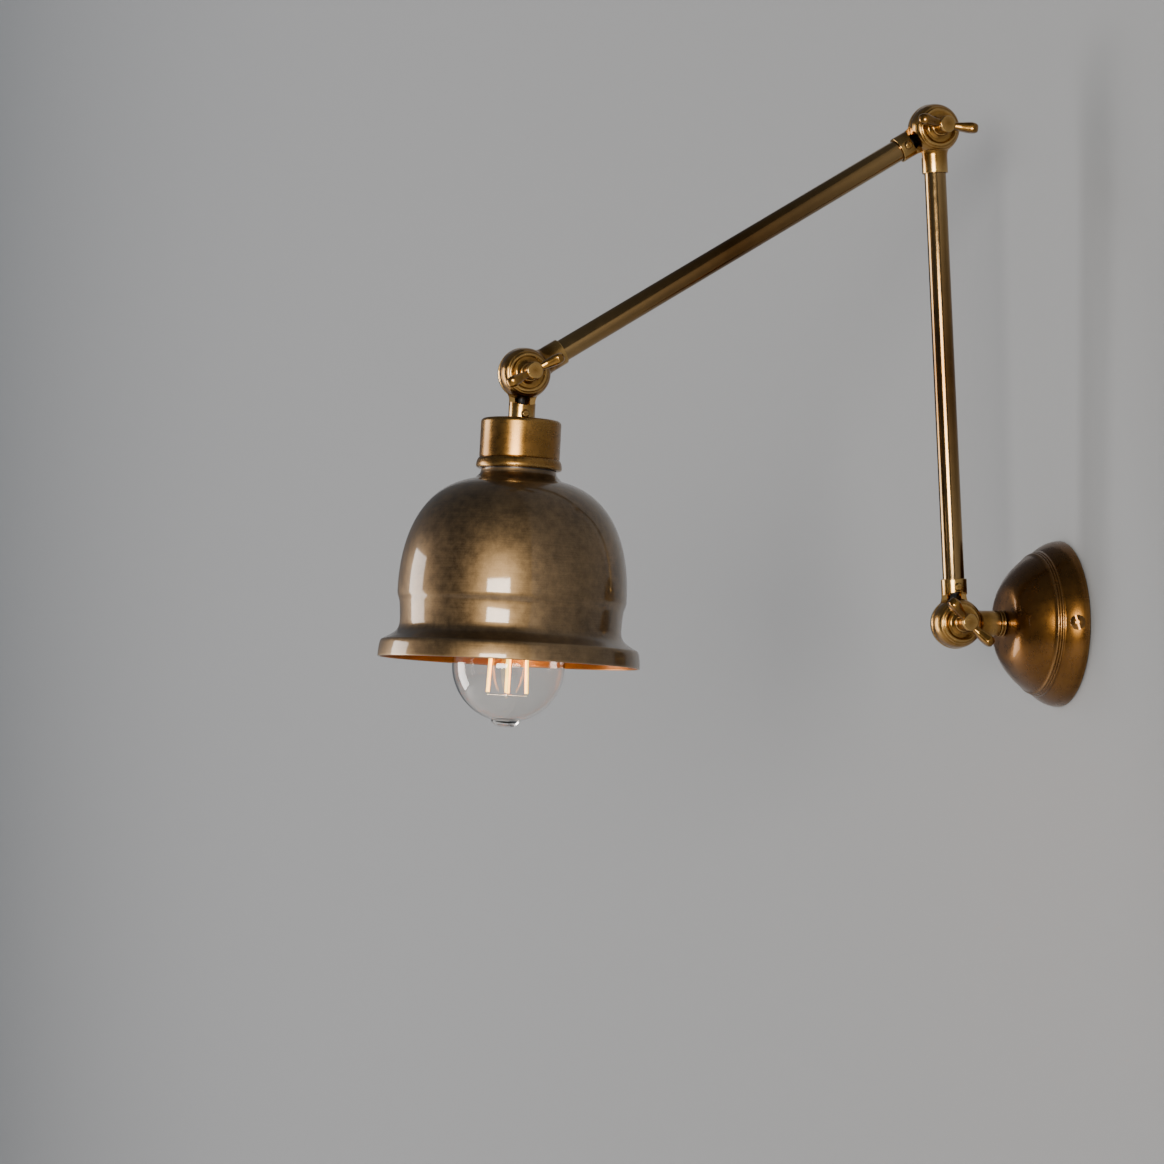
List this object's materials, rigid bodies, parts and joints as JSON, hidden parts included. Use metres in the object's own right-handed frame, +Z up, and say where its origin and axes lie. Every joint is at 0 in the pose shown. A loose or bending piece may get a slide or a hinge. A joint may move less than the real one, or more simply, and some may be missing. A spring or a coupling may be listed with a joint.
{
  "type": "swing arm wall sconce",
  "caption": "Wall light in aged brass: domed canopy, straight tube arms on clamped knuckle pivots, bell shade and clear filament bulb.",
  "frame": {"origin": "centre of the canopy's back face, on the wall", "axes": "+Y points into the wall and -Y out of it, +Z is up, +X is the side the thumb screws are on"},
  "size_m": [0.1496, 0.4111, 0.3666],
  "materials": {
    "canopy": "aged polished brass, warm brown",
    "wall_bracket": "zinc plated",
    "canopy_screw_left": "aged satin brass",
    "canopy_screw_right": "aged satin brass",
    "terminal_block": "moulded black",
    "earth_screw": "plain brass",
    "stem_collar": "aged satin brass",
    "supply_flex": "black insulation",
    "base_front_half": "aged satin brass",
    "canopy_nipple": "plain brass",
    "canopy_washer": "zinc plated",
    "canopy_lock_nut": "plain brass",
    "base_back_half": "aged satin brass",
    "base_set_screw": "aged satin brass",
    "base_washer": "zinc plated",
    "base_flex": "black insulation",
    "lower_arm_tube": "aged satin brass, drawn tube",
    "lower_arm_flex": "black insulation",
    "elbow_front_half": "aged satin brass",
    "base_thumb_screw": "aged satin brass",
    "elbow_back_half": "aged satin brass",
    "elbow_set_screw": "aged satin brass",
    "elbow_washer": "zinc plated",
    "elbow_flex": "black insulation",
    "upper_arm_tube": "aged satin brass, drawn tube",
    "upper_arm_flex": "black insulation",
    "head_front_half": "aged satin brass",
    "elbow_thumb_screw": "aged satin brass",
    "head_back_half": "aged satin brass",
    "head_set_screw": "aged satin brass",
    "head_washer": "zinc plated",
    "head_flex": "black insulation",
    "neck_nipple": "plain brass",
    "neck_lock_nut": "plain brass",
    "lampholder_cap": "aged satin brass",
    "lampholder_body": "moulded black",
    "screw_shell": "plain brass",
    "centre_contact": "plain brass",
    "shade_ring": "plain brass",
    "shade": "dark aged brass, satin",
    "bulb_cap": "nickel plated",
    "bulb_insulator": "black vitrite",
    "bulb_contact": "nickel plated",
    "bulb_glass": "clear",
    "bulb_stem": "clear",
    "filament_1": "coated emitter strip, lit",
    "filament_2": "coated emitter strip, lit",
    "filament_3": "coated emitter strip, lit",
    "filament_4": "coated emitter strip, lit",
    "lower_filament_wire": "nickel plated",
    "upper_filament_wire": "nickel plated",
    "head_thumb_screw": "aged satin brass"
  },
  "bodies": {
    "wall_mount": {"canopy": "canopy", "wall_bracket": "wall_bracket", "canopy_screw_left": "canopy_screw_left", "canopy_screw_right": "canopy_screw_right", "terminal_block": "terminal_block", "earth_screw": "earth_screw", "stem_collar": "stem_collar", "supply_flex": "supply_flex"},
    "stem": {"base_front_half": "base_front_half", "canopy_nipple": "canopy_nipple", "canopy_washer": "canopy_washer", "canopy_lock_nut": "canopy_lock_nut"},
    "lower_arm": {"base_back_half": "base_back_half", "base_set_screw": "base_set_screw", "base_washer": "base_washer", "base_flex": "base_flex", "lower_arm_tube": "lower_arm_tube", "lower_arm_flex": "lower_arm_flex", "elbow_front_half": "elbow_front_half"},
    "base_thumb": {"base_thumb_screw": "base_thumb_screw"},
    "upper_arm": {"elbow_back_half": "elbow_back_half", "elbow_set_screw": "elbow_set_screw", "elbow_washer": "elbow_washer", "elbow_flex": "elbow_flex", "upper_arm_tube": "upper_arm_tube", "upper_arm_flex": "upper_arm_flex", "head_front_half": "head_front_half"},
    "elbow_thumb": {"elbow_thumb_screw": "elbow_thumb_screw"},
    "head": {"head_back_half": "head_back_half", "head_set_screw": "head_set_screw", "head_washer": "head_washer", "head_flex": "head_flex", "neck_nipple": "neck_nipple", "neck_lock_nut": "neck_lock_nut", "lampholder_cap": "lampholder_cap", "lampholder_body": "lampholder_body", "screw_shell": "screw_shell", "centre_contact": "centre_contact", "shade_ring": "shade_ring", "shade": "shade", "bulb_cap": "bulb_cap", "bulb_insulator": "bulb_insulator", "bulb_contact": "bulb_contact", "bulb_glass": "bulb_glass", "bulb_stem": "bulb_stem", "filament_1": "filament_1", "filament_2": "filament_2", "filament_3": "filament_3", "filament_4": "filament_4", "lower_filament_wire": "lower_filament_wire", "upper_filament_wire": "upper_filament_wire"},
    "head_thumb": {"head_thumb_screw": "head_thumb_screw"}
  },
  "joints": [
    {"name": "stem_swivel", "type": "hinge", "parent": "wall_mount", "child": "stem", "pos_m": [0, -0.035, 0], "axis": [0, 1, 0], "range_deg": [-90, 90]},
    {"name": "base_pivot", "type": "hinge", "parent": "stem", "child": "lower_arm", "pos_m": [0, -0.0648, 0], "axis": [1, 0, 0], "range_deg": [-10, 180], "deforming": ["base_flex"]},
    {"name": "elbow_pivot", "type": "hinge", "parent": "lower_arm", "child": "upper_arm", "pos_m": [0, -0.078, 0.2907], "axis": [1, 0, 0], "range_deg": [-236, 3], "deforming": ["elbow_flex"]},
    {"name": "head_pivot", "type": "hinge", "parent": "upper_arm", "child": "head", "pos_m": [0, -0.32744, 0.14082], "axis": [1, 0, 0], "range_deg": [-170, 60], "deforming": ["head_flex"]},
    {"name": "base_thumb_turn", "type": "hinge", "parent": "lower_arm", "child": "base_thumb", "pos_m": [0, -0.0648, 0], "axis": [1, 0, 0], "range_deg": [0, 360]},
    {"name": "elbow_thumb_turn", "type": "hinge", "parent": "upper_arm", "child": "elbow_thumb", "pos_m": [0, -0.078, 0.2907], "axis": [1, 0, 0], "range_deg": [0, 360]},
    {"name": "head_thumb_turn", "type": "hinge", "parent": "head", "child": "head_thumb", "pos_m": [0, -0.32744, 0.14082], "axis": [1, 0, 0], "range_deg": [0, 360]}
  ]
}
